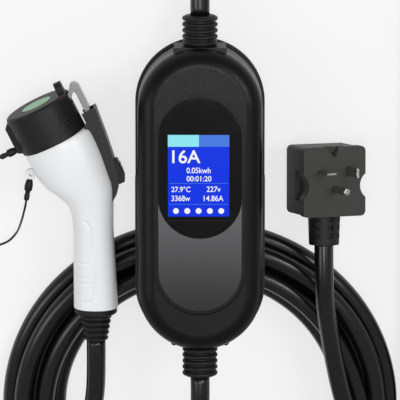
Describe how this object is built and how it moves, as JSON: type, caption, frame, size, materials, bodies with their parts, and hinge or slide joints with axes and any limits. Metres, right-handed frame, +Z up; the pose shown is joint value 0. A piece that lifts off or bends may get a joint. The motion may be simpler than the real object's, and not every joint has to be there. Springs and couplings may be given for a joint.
{
  "type": "portable ev charger",
  "caption": "Portable electric car charger: round-ended control box with a screen in a wall holder, charging gun with dust cap and sprung latch, coiled cable and mains plug.",
  "frame": {"origin": "middle of the box and gun as they lie, on the surface that they rest on", "axes": "+Y along the control box towards its charging cable gland, +Z up from the surface"},
  "size_m": [0.3208, 0.5234, 0.0837],
  "materials": {
    "shell_grey": "textured moulded",
    "panel_grey": "satin moulded",
    "lens_black": "polished",
    "screen": "lit display",
    "black_plastic": "moulded",
    "white_plastic": "satin moulded",
    "cap_rubber": "moulded",
    "badge_green": "printed",
    "steel": "plated",
    "brass": "turned",
    "nickel": "nickel plated",
    "plug_grey": "moulded",
    "cable_black": "extruded",
    "board_green": "solder mask",
    "part_dark": "moulded",
    "part_yellow": "taped"
  },
  "bodies": {
    "base": {"front_shell": "shell_grey", "rear_shell": "shell_grey", "shell_gasket": "cap_rubber", "face_panel": "panel_grey", "display_lens": "lens_black", "lcd_module": "screen", "main_board": "board_green", "relays": "part_dark", "leakage_sensor": "part_dark", "power_supply": "part_yellow", "terminal_block": "board_green", "buzzer": "part_dark", "board_screws": "steel", "shell_screws": "steel", "upper_gland": "cap_rubber", "lower_gland": "cap_rubber", "wall_holder": "black_plastic", "gun_shell_near": "white_plastic", "gun_shell_far": "white_plastic", "nose_insert": "black_plastic", "power_contacts": "brass", "earth_contact": "brass", "signal_contacts": "brass", "latch_cover": "black_plastic", "latch_pivot": "steel", "latch_spring": "steel", "micro_switch": "part_dark", "gun_gland": "cap_rubber", "gun_screws": "steel", "dust_cap": "cap_rubber", "cap_badge": "badge_green", "cap_seal": "cap_rubber", "tether_sleeve_cap": "cap_rubber", "tether_sleeve_gun": "cap_rubber", "tether_eyelet": "white_plastic", "tether_cord": "cable_black", "charge_lead": "cable_black", "cable_coil": "cable_black", "gun_lead": "cable_black", "mains_lead": "cable_black", "plug_body": "plug_grey", "blade_horizontal": "nickel", "blade_vertical": "nickel", "earth_pin": "nickel", "plug_boot": "cap_rubber"},
    "latch": {"latch_hook": "steel", "thumb_button": "black_plastic"}
  },
  "joints": [
    {"name": "latch_press", "type": "hinge", "parent": "base", "child": "latch", "pos_m": [-0.02162, 0.03814, 0.02667], "axis": [0, -0.1149, -0.9934], "range_deg": [0, 6.5], "stiffness_Nm_per_rad": 0.6, "deforming": ["latch_spring"]}
  ]
}
